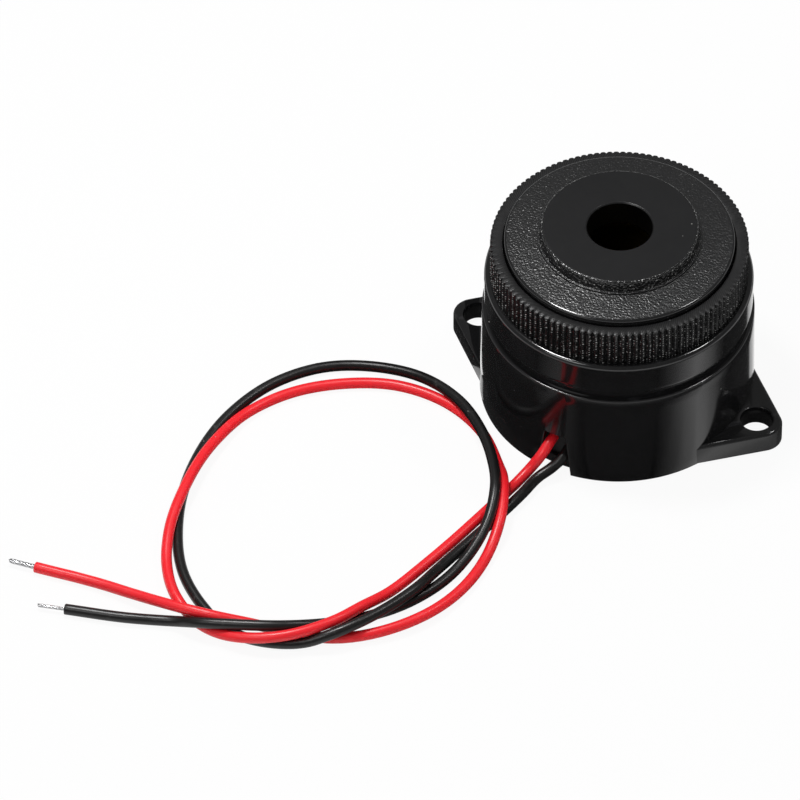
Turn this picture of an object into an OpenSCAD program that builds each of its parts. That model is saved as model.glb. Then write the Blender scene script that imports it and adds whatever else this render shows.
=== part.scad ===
// Piezo buzzer: a round moulded case with two fixing ears, a cap with a sound port,
// a knurled ring screwed on the cap's neck, and two stranded leads.
// Millimetres, +Z up. The foot stands on z = 0 and the case is centred on the Z axis.
// The ears lie along X and the notch for the leads faces -Y.

/* [Case] */
// Outside diameter of the case at its foot
case_d = 30; // [29:0.5:36]
// Height of the case from its foot to its rim
case_h = 12.3; // [11.8:0.1:16]
// How much smaller the radius is at the rim than at the foot
case_draft = 0.2; // [0:0.05:0.3]
// Thickness of the case wall at the rim
case_wall = 1.2; // [1:0.1:1.3]
// Bevel on the outer edge of the rim
rim_bevel = 0.15; // [0.05:0.05:0.3]
// Width of each ledge that carries the circuit board
ledge_w = 1.6; // [1:0.2:3]
// How far each ledge stands out from the wall
ledge_depth = 1.4; // [1:0.1:2]
// Number of board ledges
ledge_count = 4; // [4:4:8]

/* [Base cover] */
// Thickness of the cover that closes the foot
cover_t = 1.2; // [0.8:0.1:1.5]
// Width of the step that the cover seats on
cover_seat = 0.4; // [0.2:0.1:0.5]
// Gap round the cover
cover_gap = 0.1; // [0.05:0.05:0.15]

/* [Ears] */
// Distance from the case wall at the foot to the centre of a screw hole
ear_reach = 2; // [2:0.1:5]
// Diameter of a screw hole
ear_hole_d = 3.5; // [2.5:0.1:3.6]
// Thickness of an ear
ear_t = 2.5; // [1.8:0.1:4]
// Radius of an ear's round tip
ear_tip_r = 2.2; // [2.1:0.1:3]
// How far the centre of the tip lies beyond the hole
ear_tip_shift = 0.7; // [0:0.1:1]
// Angle between an ear's side and the line through both holes
ear_side_deg = 42; // [36:1:46]
// Rounding of an ear's upper edge
ear_edge_r = 0.4; // [0.2:0.1:1]

/* [Lead notch] */
// Height of the notch in the wall
notch_h = 5.5; // [5.2:0.1:6.5]
// Width of the notch at its top
notch_top_w = 2.5; // [2.5:0.1:5]
// Width of the notch at the foot
notch_foot_w = 3.9; // [3.9:0.1:6]

/* [Cap] */
// How far the collar stays inside the case's foot, on the radius
collar_inset = 0.4; // [0:0.1:0.6]
// Height from the case rim to the top of the collar
collar_h = 5; // [4.5:0.1:8]
// Height of the groove between rim and collar
groove_h = 0.6; // [0.4:0.1:1]
// Depth of that groove
groove_depth = 0.4; // [0.2:0.1:0.5]
// Rounding of the collar's lower edge
collar_foot_r = 0.9; // [0.3:0.1:1.2]
// Rounding of the collar's upper edge
collar_edge_r = 0.5; // [0.2:0.1:0.8]
// Depth of the spigot that enters the case
spigot_h = 1.4; // [1:0.1:3]
// Thickness of the spigot's wall
spigot_wall = 0.75; // [0.6:0.05:0.9]
// Gap between spigot and case
spigot_gap = 0.15; // [0.05:0.05:0.2]

/* [Neck and boss] */
// Width of the collar's shoulder round the neck, which the ring is screwed down to
shoulder_w = 2.1; // [2:0.1:3]
// Height of the neck above the collar
neck_h = 5.4; // [5:0.1:8]
// Thickness of the neck's wall
neck_wall = 1.7; // [1.2:0.1:2]
// Rounding of the neck's upper edge
neck_edge_r = 0.35; // [0.1:0.05:0.6]
// Thickness of the face that closes the neck
face_t = 1.5; // [1:0.1:2]
// Diameter of the raised boss at its top
boss_d = 17; // [14:0.5:18]
// Height of the boss above the neck
boss_h = 1.6; // [0.8:0.1:2.5]
// How much wider the boss is at its foot, on the radius
boss_draft = 0.2; // [0:0.05:0.4]
// Rounding of the boss's upper edge
boss_edge_r = 0.25; // [0.1:0.05:0.4]
// Height of the small step round the boss's foot
step_h = 0.3; // [0.1:0.05:0.5]
// Width of that step
step_w = 0.2; // [0.1:0.05:0.5]
// Diameter of the sound port
port_d = 7.1; // [4:0.1:9]
// Bevel on the port's edge
port_bevel = 0.15; // [0.05:0.05:0.4]

/* [Screw ring] */
// Thickness of the ring from its bore to the tips of its teeth
ring_wall = 1.4; // [1.1:0.1:2]
// Height of the ring
ring_h = 4.4; // [3:0.1:4.6]
// Gap between the ring and the neck
ring_gap = 0.1; // [0.05:0.05:0.2]
// Number of teeth
ring_teeth = 120; // [60:10:150]
// Depth of a tooth
tooth_depth = 0.25; // [0.1:0.05:0.35]
// Bevel on the ring's outer edges
ring_bevel = 0.1; // [0.1:0.05:0.4]
// Bevel on the upper edge of the ring's bore
mouth_bevel = 0.1; // [0.1:0.05:0.5]

/* [Sounder] */
// Gap round the brass plate in its seat
plate_gap = 0.2; // [0.05:0.05:0.3]
// Thickness of the brass plate
plate_t = 0.3; // [0.15:0.05:0.4]
// Height of the plate's seat below the collar's top
seat_drop = 1.7; // [1:0.1:2]
// Width of the brass rim that stays free round the ceramic disc
free_rim_w = 3.5; // [3:0.1:5]
// Thickness of the ceramic disc
ceramic_t = 0.25; // [0.15:0.05:0.35]
// Width of the silicone bead that holds the plate
bead_w = 1.1; // [0.6:0.1:1.2]
// Height of that bead
bead_h = 0.7; // [0.4:0.1:1.2]

/* [Drive circuit] */
// Height of the board ledges above the foot
board_z = 6.6; // [6.6:0.1:7]
// Thickness of the circuit board
board_t = 1.2; // [0.8:0.1:1.6]
// Gap between the board and the case wall
board_gap = 0.4; // [0.2:0.1:0.6]
// Diameter of the choke
choke_d = 7; // [5:0.5:8]
// Height of the choke
choke_h = 5; // [3:0.1:5.5]
// Thickness of the choke's base and of its flange
choke_flange_t = 0.9; // [0.6:0.1:1.2]
// Diameter of the choke's core inside the winding
choke_core_d = 3.2; // [2:0.1:4]
// How far the winding stays inside the flange
winding_inset = 0.4; // [0.2:0.1:1]
// Length, width and height of a chip resistor
resistor_size = [2, 1.25, 0.55]; // [0.4:0.05:2.4]
// Length, width and height of the chip capacitor
capacitor_size = [3.2, 1.6, 1.2]; // [0.6:0.1:3.6]
// Length, width and height of the diode's body
diode_size = [2.7, 1.6, 1.1]; // [0.8:0.1:3]
// Length, width and height of the transistor's body
transistor_size = [2.9, 1.3, 1]; // [0.8:0.1:3]
// Diameter of the thin wires to the plate and the ceramic
wire_d = 0.5; // [0.3:0.05:0.6]

/* [Leads] */
// Diameter of a lead over its insulation
lead_d = 1.2; // [1:0.05:1.2]
// Length of the bare strands at a lead's end
bare_len = 3; // [2:0.5:6]
// Thickness of the red lead's tinned strands
red_bare_d = 0.55; // [0.3:0.05:0.7]
// Thickness of the black lead's tinned strands
black_bare_d = 0.4; // [0.3:0.05:0.7]

/* [Hidden] */
$fn = 96;
// Overshoot of every cut through a surface
cut = 0.5;

// Case and base cover
case_r = case_d / 2;
rim_r = case_r - case_draft;
bore_r = rim_r - case_wall;
cover_r = bore_r + cover_seat;
rebate_r = cover_r + cover_gap;
ear_hole_x = case_r + ear_reach;
ear_tip_x = ear_hole_x + ear_tip_shift;
ear_side_len = ear_tip_x * cos(ear_side_deg);

// Cap, from the case rim upwards
spigot_r = bore_r - spigot_gap;
seat_r = spigot_r - spigot_wall;
collar_r = case_r - collar_inset;
groove_r = collar_r - groove_depth;
collar_top = case_h + collar_h;
neck_r = collar_r - shoulder_w;
neck_top = collar_top + neck_h;
cavity_r = neck_r - neck_wall;
cavity_top = neck_top - face_t;
boss_r = boss_d / 2;
boss_top = neck_top + boss_h;
port_r = port_d / 2;
seat_z = collar_top - seat_drop;

// Screw ring
ring_bore_r = neck_r + ring_gap;
ring_r = ring_bore_r + ring_wall;
tooth_root_r = ring_r - tooth_depth;

// Sounder, hung under the seat
plate_r = seat_r - plate_gap;
plate_foot = seat_z - plate_t;
ceramic_r = plate_r - free_rim_w;
ceramic_foot = plate_foot - ceramic_t;

// Circuit board and the places of its parts
board_r = bore_r - board_gap;
board_top = board_z + board_t;
choke_at = [4.5, 4];
transistor_at = [-4.5, 5];
resistor_at = [[-8, -1], [-5, -1], [-2, -1]];
diode_at = [6, -4.5];
capacitor_at = [-6.5, -5.5];
// Height of a moulded body above the board, on its legs
stand_off = 0.1;
leg_w = 0.4;
leg_t = 0.15;
leg_reach = 0.55;
leg_pitch = 1.9;
chip_end = 0.4;
chip_inset = 0.04;

// Solder: a fillet at a chip's end, and a cone on a pad
toe_len = 0.5;
toe_rise = 0.7;
pad_r = 0.75;
cone_h = 0.7;
barrel_r = 0.5;

// The thin wires run from a pad on the board to a pad under the sounder
wire_r = wire_d / 2;
wire_stub = 0.6;
// From the plate's pad to its pad on the board, which leaves the wire some slack
plate_wire_shift = [0.9, 2.7];
// How far the pads of the other wire lie inside the edges of ceramic and board
ceramic_pad_inset = 3.2;
board_pad_inset = 3.6;
plate_pad_r = (ceramic_r + seat_r - bead_w) / 2;
plate_pad = [plate_pad_r * cos(164), plate_pad_r * sin(164), plate_foot - cone_h];
plate_wire_pad = [plate_pad.x + plate_wire_shift.x, plate_pad.y + plate_wire_shift.y,
                  board_top + cone_h];
ceramic_pad = [-1.6, ceramic_r - ceramic_pad_inset, ceramic_foot - cone_h];
ceramic_wire_pad = [-0.6, board_r - board_pad_inset, board_top + cone_h];

// Leads: from the board, out of the notch and along the table, in two loops
lead_r = lead_d / 2;
tube_sides = 8;
up = [0, 0, 1];
red_route = [
    [-1, -10.2, 6.6], [-1, -11, 4.8], [-0.8, -12.8, 3.8], [-0.8, -14.4, 3.6],
    [-1.1, -15.9, 2.7], [-1.8, -17.1, 1.4], [-2.4, -19, 0.7], [-3.2, -23.4, 0.7],
    [-5.6, -34.4, 0.6], [-7.1, -40.1, 0.8], [-8.3, -43.9, 1.7], [-9.6, -47.3, 2.2],
    [-13.8, -52.1, 2.1], [-16.5, -53.4, 1.7], [-20.4, -53.9, 1], [-23.1, -53.3, 0.6],
    [-26.8, -51.4, 0.9], [-30.1, -47.6, 1], [-31.9, -43.8, 1.5], [-33.4, -37.3, 1.9],
    [-34, -29, 1.3], [-33.2, -23.5, 0.7], [-30.7, -18.9, 0.6], [-25.9, -14.6, 0.6],
    [-20.7, -12.2, 0.6], [-14.8, -12, 0.6], [-9.1, -14.3, 0.7], [-5.4, -17.8, 0.9],
    [-3.2, -20.8, 2.2], [-1.1, -25.5, 1.8], [-0.4, -29.2, 0.8], [-0.4, -35.8, 0.7],
    [-2.1, -41.4, 1], [-9.3, -48.6, 0.7], [-15.4, -50.3, 0.7], [-17.7, -51.1, 1.1],
    [-21.4, -52.7, 2], [-31.6, -53.2, 1], [-34.6, -53.2, 0.7], [-42.6, -54.3, 0.6]
];
black_route = [
    [1.4, -9.6, 6.6], [1.4, -10, 4.6], [1.2, -11.4, 3.2], [1, -13.2, 2.6],
    [0.9, -14.7, 2.2], [0.2, -16, 1.4], [-0.6, -17.3, 0.9], [-1.1, -20.4, 0.8],
    [-3.9, -35.2, 1.2], [-4.2, -38.9, 2], [-4.8, -41, 2.1], [-9.5, -49.4, 1.8],
    [-11.2, -50.6, 1.1], [-14.9, -52.3, 0.7], [-20.2, -52.7, 0.6], [-23.6, -51.1, 0.6],
    [-27.6, -48.1, 0.6], [-32.2, -41.2, 0.6], [-34.6, -33.7, 0.6], [-34.8, -24.8, 0.7],
    [-32.5, -17.8, 0.7], [-29.2, -13.6, 0.6], [-23.2, -10.6, 0.7], [-19.6, -10.2, 1],
    [-13.3, -12, 1.8], [-9, -15.1, 2.3], [-5.7, -18.7, 2.7], [-3.2, -22.7, 3.1],
    [-2, -26.7, 2.1], [-1.8, -29.4, 1.5], [-2.3, -33.8, 0.7], [-4.2, -39.5, 0.7],
    [-8.6, -45.2, 0.7], [-10.8, -47.6, 1.3], [-14.2, -50.8, 2.3], [-19.2, -53.2, 2.3],
    [-23.1, -54.3, 1.7], [-24.7, -54.3, 1], [-30.3, -56.3, 0.7], [-36.8, -58.2, 0.6]
];
// How many route points the glue behind the notch holds
glued_points = 5;
glue_r = 3.3;
glue_inset = 1.9;
glue_at = [0, glue_inset - bore_r, cover_t + lead_d];

function unit(v) = v / norm(v);
function last(p) = p[len(p) - 1];

// Direction of a smooth line at one of its points, weighted by the spans beside it.
// An end takes the direction that is asked for, or else that of its own span.
function heading(p, i, start, finish) =
    i == 0 ? (is_undef(start) ? unit(p[1] - p[0]) : start) :
    i == len(p) - 1 ? (is_undef(finish) ? unit(p[i] - p[i - 1]) : finish) :
    let (back = norm(p[i] - p[i - 1]), ahead = norm(p[i + 1] - p[i]))
    (ahead * (p[i] - p[i - 1]) / back + back * (p[i + 1] - p[i]) / ahead) / (back + ahead);

// Point half way along the smooth line from point i to the next, no lower than the table
function half_way(p, i, r, start, finish) =
    let (turn = heading(p, i, start, finish) - heading(p, i + 1, start, finish),
         mid = (p[i] + p[i + 1]) / 2 + turn * norm(p[i + 1] - p[i]) / 8)
    [mid.x, mid.y, max(mid.z, r)];

function smooth_line(p, r, start, finish) = [
    for (i = [0 : len(p) - 2]) each [p[i], half_way(p, i, r, start, finish)],
    last(p)
];

// Sideways direction of each ring, carried along the line so that the tube doesn't twist
function ring_sides(dir) = [
    for (i = 0, side = unit(cross(dir[0], [1, 0, 0]));
         i < len(dir);
         i = i + 1, side = i < len(dir) ? unit(side - (side * dir[i]) * dir[i]) : side)
    side
];

module tube(route, r, start, finish) {
    sides = tube_sides;
    line = smooth_line(route, r, start, finish);
    count = len(line);
    dir = [for (i = [0 : count - 1]) unit(heading(line, i, start, finish))];
    side = ring_sides(dir);
    points = [
        for (i = [0 : count - 1], k = [0 : sides - 1])
            line[i] + r * (cos(k * 360 / sides) * side[i]
                         + sin(k * 360 / sides) * cross(dir[i], side[i]))
    ];
    walls = [
        for (i = [0 : count - 2], k = [0 : sides - 1])
            let (a = i * sides + k, b = i * sides + (k + 1) % sides)
            each [[a, a + sides, b], [b, a + sides, b + sides]]
    ];
    foot = [for (k = [0 : sides - 1]) k];
    end = [for (k = [sides - 1 : -1 : 0]) (count - 1) * sides + k];
    polyhedron(points, concat(walls, [foot, end]));
}

// Half section of a round body from radius r0 to r1, with true arcs on its outer corners
module rounded_section(r0, r1, z0, z1, foot_r, top_r) {
    translate([r0, z0]) square([r1 - foot_r - r0, z1 - top_r - z0]);
    translate([r0, z0 + foot_r]) square([r1 - top_r - r0, z1 - z0 - foot_r]);
    translate([r0, z0 + foot_r]) square([r1 - r0, z1 - z0 - foot_r - top_r]);
    if (foot_r > 0) translate([r1 - foot_r, z0 + foot_r]) circle(foot_r);
    if (top_r > 0) translate([r1 - top_r, z1 - top_r]) circle(top_r);
}

module case_blank() {
    rotate_extrude()
        polygon([[0, 0], [case_r, 0], [rim_r, case_h - rim_bevel],
                 [rim_r - rim_bevel, case_h], [0, case_h]]);
}

// A round disc as thick as an ear, with the ear's rounded upper edge
module ear_disc() {
    rotate_extrude($fn = 48) rounded_section(0, ear_tip_r, 0, ear_t, 0, ear_edge_r, $fn = 32);
}

// One ear along +X: a disc at the tip and one inside the wall on each side, hulled
module ear() {
    hull() {
        translate([ear_tip_x, 0, 0]) ear_disc();
        for (side = [-1, 1])
            translate([ear_tip_x - ear_side_len * cos(ear_side_deg),
                       side * ear_side_len * sin(ear_side_deg), 0]) ear_disc();
    }
}

module notch_cut() {
    rotate([90, 0, 0]) translate([0, 0, bore_r - 2 * case_wall])
        linear_extrude(case_r - bore_r + 4 * case_wall) polygon([
            [-notch_foot_w / 2, 0], [notch_foot_w / 2, 0],
            [notch_top_w / 2, notch_h], [-notch_top_w / 2, notch_h]
        ]);
}

module board_ledges() {
    difference() {
        intersection() {
            for (i = [0 : ledge_count - 1])
                rotate([0, 0, (i + 0.5) * 360 / ledge_count])
                    translate([bore_r - ledge_depth, -ledge_w / 2, cover_t])
                        cube([ledge_depth + case_wall / 2, ledge_w, board_z - cover_t]);
            cylinder(h = case_h, r = bore_r + case_wall / 2);
        }
        cylinder(h = case_h, r = bore_r - ledge_depth);
    }
}

module case_body() {
    color("#1c1c1e") {
        difference() {
            union() {
                case_blank();
                ear();
                mirror([1, 0, 0]) ear();
            }
            translate([0, 0, -cut]) cylinder(h = case_h + 2 * cut, r = bore_r);
            translate([0, 0, -cut]) cylinder(h = cover_t + cut, r = rebate_r);
            for (x = [-ear_hole_x, ear_hole_x])
                translate([x, 0, -cut]) cylinder(h = ear_t + 2 * cut, d = ear_hole_d);
            notch_cut();
        }
        board_ledges();
    }
}

module base_cover() {
    color("#222224") cylinder(h = cover_t, r = cover_r);
}

// Half section of the cap: spigot, groove, collar, neck, step and boss
module cap_outline() {
    translate([0, case_h - spigot_h]) square([spigot_r, spigot_h + groove_h]);
    translate([0, case_h]) square([groove_r, groove_h + collar_foot_r]);
    rounded_section(0, collar_r, case_h + groove_h, collar_top, collar_foot_r, collar_edge_r);
    rounded_section(0, neck_r, case_h + groove_h, neck_top, 0, neck_edge_r);
    translate([0, cavity_top]) square([boss_r + boss_draft + step_w, face_t + step_h]);
    intersection() {
        rounded_section(0, boss_r + boss_draft, cavity_top, boss_top, 0, boss_edge_r);
        polygon([[0, cavity_top], [boss_r + boss_draft, cavity_top],
                 [boss_r + boss_draft, neck_top], [boss_r, boss_top], [0, boss_top]]);
    }
}

module front_cap() {
    color("#202022") rotate_extrude() difference() {
        cap_outline();
        translate([0, case_h - spigot_h - cut])
            square([seat_r, seat_z - case_h + spigot_h + cut]);
        translate([0, seat_z - cut]) square([cavity_r, cavity_top - seat_z + cut]);
        translate([0, cavity_top - cut]) square([port_r, boss_top - cavity_top + 2 * cut]);
        polygon([[0, boss_top - port_bevel], [port_r, boss_top - port_bevel],
                 [port_r + port_bevel, boss_top], [port_r + port_bevel, boss_top + cut],
                 [0, boss_top + cut]]);
    }
}

// Straight teeth all round: tips and roots alternate
module tooth_outline() {
    polygon([
        for (i = [0 : 2 * ring_teeth - 1])
            let (a = i * 180 / ring_teeth, r = i % 2 == 0 ? ring_r : tooth_root_r)
            [r * cos(a), r * sin(a)]
    ]);
}

module ring_nut() {
    color("#1e1e20") translate([0, 0, collar_top]) intersection() {
        linear_extrude(ring_h) tooth_outline();
        rotate_extrude() polygon([
            [ring_bore_r, 0], [ring_r - ring_bevel, 0], [ring_r, ring_bevel],
            [ring_r, ring_h - ring_bevel], [ring_r - ring_bevel, ring_h],
            [ring_bore_r + mouth_bevel, ring_h], [ring_bore_r, ring_h - mouth_bevel]
        ]);
    }
}

module piezo_plate() {
    color("#c9a44b") translate([0, 0, plate_foot]) cylinder(h = plate_t, r = plate_r);
}

module piezo_ceramic() {
    color("#e6e2d6") translate([0, 0, ceramic_foot]) cylinder(h = ceramic_t, r = ceramic_r);
}

// The bead fills the corner between the plate's rim and the seat
module silicone_ring() {
    color("#dedcd6") rotate_extrude()
        translate([seat_r - bead_w, plate_foot - bead_h]) square([bead_w, bead_h]);
}

module circuit_board() {
    color("#2f6b3a") difference() {
        translate([0, 0, board_z]) cylinder(h = board_t, r = board_r);
        for (route = [red_route, black_route])
            translate([route[0].x, route[0].y, board_z - cut])
                cylinder(h = board_t + 2 * cut, r = barrel_r);
    }
}

module choke_core() {
    color("#3a3a3c") translate([choke_at.x, choke_at.y, board_top]) {
        translate([-choke_d / 2, -choke_d / 2, 0]) cube([choke_d, choke_d, choke_flange_t]);
        cylinder(h = choke_h, d = choke_core_d);
        translate([0, 0, choke_h - choke_flange_t]) cylinder(h = choke_flange_t, d = choke_d);
    }
}

module choke_winding() {
    color("#b5652b") translate([choke_at.x, choke_at.y, board_top + choke_flange_t])
        difference() {
            cylinder(h = choke_h - 2 * choke_flange_t, d = choke_d - 2 * winding_inset);
            translate([0, 0, -cut]) cylinder(h = choke_h, d = choke_core_d);
        }
}

// A gull-wing leg that leaves the body sideways and stands on the board
module leg() {
    translate([0, leg_w / 2, 0]) rotate([90, 0, 0]) linear_extrude(leg_w) polygon([
        [-leg_t, stand_off + 2 * leg_t], [leg_t, stand_off + 2 * leg_t],
        [leg_t + leg_reach / 3, leg_t], [leg_reach, leg_t], [leg_reach, 0],
        [leg_reach / 3, 0], [leg_t / 2, stand_off + leg_t], [-leg_t, stand_off + leg_t]
    ]);
}

module moulded_body(size) {
    translate([-size.x / 2, -size.y / 2, stand_off])
        cube([size.x, size.y, size.z - stand_off]);
}

module transistor() {
    color("#2a2a2c") translate([transistor_at.x, transistor_at.y, board_top]) {
        moulded_body(transistor_size);
        translate([0, transistor_size.y / 2, 0]) rotate([0, 0, 90]) leg();
        for (x = [-leg_pitch / 2, leg_pitch / 2])
            translate([x, -transistor_size.y / 2, 0]) rotate([0, 0, -90]) leg();
    }
}

module diode() {
    color("#262628") translate([diode_at.x, diode_at.y, board_top]) {
        moulded_body(diode_size);
        translate([diode_size.x / 2, 0, 0]) leg();
        mirror([1, 0, 0]) translate([diode_size.x / 2, 0, 0]) leg();
    }
}

// A chip with full metal ends and a slightly slimmer body
module chip(size) {
    for (side = [-1, 1])
        translate([side * (size.x - chip_end) / 2, 0, size.z / 2])
            cube([chip_end, size.y, size.z], center = true);
    translate([-size.x / 2 + chip_end / 2, -size.y / 2 + chip_inset, chip_inset])
        cube([size.x - chip_end, size.y - 2 * chip_inset, size.z - 2 * chip_inset]);
}

module resistors() {
    color("#33343a") for (at = resistor_at)
        translate([at.x, at.y, board_top]) rotate([0, 0, 90]) chip(resistor_size);
}

module capacitor() {
    color("#b79a6e") translate([capacitor_at.x, capacitor_at.y, board_top])
        chip(capacitor_size);
}

// Solder that rises from the board against a flat end at x = 0
module solder_toe(w, rise) {
    translate([0, w / 2, 0]) rotate([90, 0, 0]) linear_extrude(w)
        polygon([[0, 0], [toe_len, 0], [toe_len / 4, rise / 3], [0, rise]]);
}

module toe_pair(len, w, rise) {
    for (turn = [0, 180]) rotate([0, 0, turn]) translate([len / 2, 0, 0]) solder_toe(w, rise);
}

module solder_cone() {
    cylinder(h = cone_h, r1 = pad_r, r2 = wire_r);
}

module solder_joints() {
    color("#c8cace") {
        translate([choke_at.x, choke_at.y, board_top])
            toe_pair(choke_d, choke_d / 3, choke_flange_t * toe_rise);
        for (at = resistor_at) translate([at.x, at.y, board_top]) rotate([0, 0, 90])
            toe_pair(resistor_size.x, resistor_size.y, resistor_size.z * toe_rise);
        translate([capacitor_at.x, capacitor_at.y, board_top])
            toe_pair(capacitor_size.x, capacitor_size.y, capacitor_size.z * toe_rise);
        translate([diode_at.x, diode_at.y, board_top])
            toe_pair(diode_size.x + 2 * leg_reach, leg_w, leg_t);
        translate([transistor_at.x, transistor_at.y, board_top]) {
            translate([0, transistor_size.y / 2 + leg_reach, 0])
                rotate([0, 0, 90]) solder_toe(leg_w, leg_t);
            for (x = [-leg_pitch / 2, leg_pitch / 2])
                translate([x, -transistor_size.y / 2 - leg_reach, 0])
                    rotate([0, 0, -90]) solder_toe(leg_w, leg_t);
        }
        for (route = [red_route, black_route]) translate([route[0].x, route[0].y, board_z]) {
            cylinder(h = board_t, r = barrel_r);
            translate([0, 0, board_t]) solder_cone();
        }
        for (pad = [plate_wire_pad, ceramic_wire_pad])
            translate([pad.x, pad.y, board_top]) solder_cone();
        for (pad = [plate_pad, ceramic_pad])
            translate([pad.x, pad.y, pad.z + cone_h]) mirror([0, 0, 1]) solder_cone();
    }
}

// A thin wire that rises from one solder cone, crosses over and rises into the other
module hook_wire(from, to) {
    rise = [0, 0, wire_stub];
    low = from + rise;
    high = to - rise;
    tube([from, low, low + (high - low) * 0.3, low + (high - low) * 0.7, high, to],
         wire_r, up, up);
}

module plate_wire() {
    color("#a02828") hook_wire(plate_wire_pad, plate_pad);
}

module ceramic_wire() {
    color("#2b2b2d") hook_wire(ceramic_wire_pad, ceramic_pad);
}

// Hot-melt glue on the base cover, moulded round both leads behind the notch
module lead_glue() {
    color("#2c2a29") difference() {
        intersection() {
            translate(glue_at) sphere(glue_r);
            translate([0, 0, cover_t]) cylinder(h = board_z - cover_t - 2 * lead_r, r = bore_r);
        }
        for (route = [red_route, black_route])
            tube([for (i = [0 : glued_points]) route[i]], lead_r, -up);
    }
}

module red_lead() {
    color("#e8404a") tube(red_route, lead_r, -up);
}

module black_lead() {
    color("#262628") tube(black_route, lead_r, -up);
}

// Tinned strands that go straight on from a lead's end
module bare_end(route, d) {
    end = last(route);
    way = unit(end - route[len(route) - 2]);
    translate(end) rotate([0, acos(way.z), atan2(way.y, way.x)]) cylinder(h = bare_len, d = d);
}

module red_lead_strands() {
    color("#c4c6ca") bare_end(red_route, red_bare_d);
}

module black_lead_strands() {
    color("#c4c6ca") bare_end(black_route, black_bare_d);
}

case_body();
front_cap();
ring_nut();
base_cover();
piezo_plate();
piezo_ceramic();
silicone_ring();
circuit_board();
choke_core();
choke_winding();
transistor();
resistors();
diode();
capacitor();
solder_joints();
plate_wire();
ceramic_wire();
lead_glue();
red_lead();
black_lead();
red_lead_strands();
black_lead_strands();
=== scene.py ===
# %% [markdown]
# # A small piezo buzzer with a screw ring and two leads
#
# This file dresses a finished CAD model. The model's solids fix every size, and each cell below
# gives one piece its final skin, or builds a finer stand-in for it in the same place.
# Everything is in metres. The foot of the case stands on z = 0, the ears lie along X and the
# notch for the leads faces -Y.

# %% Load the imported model
import math

import bmesh
import bpy
import numpy as np
from mathutils import Matrix, Vector


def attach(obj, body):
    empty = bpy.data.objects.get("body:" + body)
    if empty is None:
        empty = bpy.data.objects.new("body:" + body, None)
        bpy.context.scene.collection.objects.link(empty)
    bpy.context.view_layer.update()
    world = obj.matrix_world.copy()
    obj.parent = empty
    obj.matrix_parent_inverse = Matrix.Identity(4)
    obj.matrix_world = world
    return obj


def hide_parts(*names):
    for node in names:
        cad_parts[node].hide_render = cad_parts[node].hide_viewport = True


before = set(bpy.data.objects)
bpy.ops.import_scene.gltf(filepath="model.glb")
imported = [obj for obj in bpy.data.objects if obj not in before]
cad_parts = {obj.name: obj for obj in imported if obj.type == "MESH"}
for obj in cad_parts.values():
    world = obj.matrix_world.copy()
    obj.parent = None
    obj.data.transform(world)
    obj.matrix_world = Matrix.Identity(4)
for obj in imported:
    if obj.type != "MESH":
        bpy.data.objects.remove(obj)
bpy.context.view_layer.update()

MM = 0.001

# %% [markdown]
# ## Camera
#
# The picture was taken from far away with a long lens, so the round edges of the case look like
# clean ellipses. Two angles and a target point are easier to read than a matrix, so the camera's
# axes are worked out from them.

# %% Place the camera
VIEW_AZIMUTH, VIEW_ELEVATION, VIEW_DISTANCE = 27.8, 46.36, 1.312
AIM_RIGHT, AIM_UP = -23.71 * MM, -1.99 * MM


def direction(azimuth, elevation):
    """A unit vector from two angles in degrees. Azimuth 0 is the front, -Y, and 90 is +X."""
    a, e = math.radians(azimuth), math.radians(elevation)
    return Vector((math.sin(a) * math.cos(e), -math.cos(a) * math.cos(e), math.sin(e)))


def make_object(name, data):
    """An object in the scene for a mesh, a lamp or a camera."""
    made = bpy.data.objects.new(name, data)
    bpy.context.scene.collection.objects.link(made)
    return made


to_camera = direction(VIEW_AZIMUTH, VIEW_ELEVATION)
picture_right = direction(VIEW_AZIMUTH + 90, 0)
picture_up = to_camera.cross(picture_right)
target = AIM_RIGHT * picture_right + AIM_UP * picture_up

lens = bpy.data.cameras.new("camera")
lens.lens, lens.sensor_width, lens.clip_start = 540, 36, 0.05
camera = make_object("camera", lens)
axes = Matrix((picture_right, picture_up, to_camera)).transposed().to_4x4()
camera.matrix_world = Matrix.Translation(target + VIEW_DISTANCE * to_camera) @ axes
bpy.context.scene.camera = camera
print("camera at", [round(v, 3) for v in camera.matrix_world.translation])

# %% [markdown]
# ## The two leads
#
# Each lead is a thin stranded wire in soft PVC. It leaves the notch, lies on the table in two
# loose loops and ends in three millimetres of bare tinned strands. It is a swept mesh and not a
# curve, since each point of a mesh can also remember where it would be if the lead were pulled
# straight. The PVC finish needs that to run its fine marks along the lead.

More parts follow.
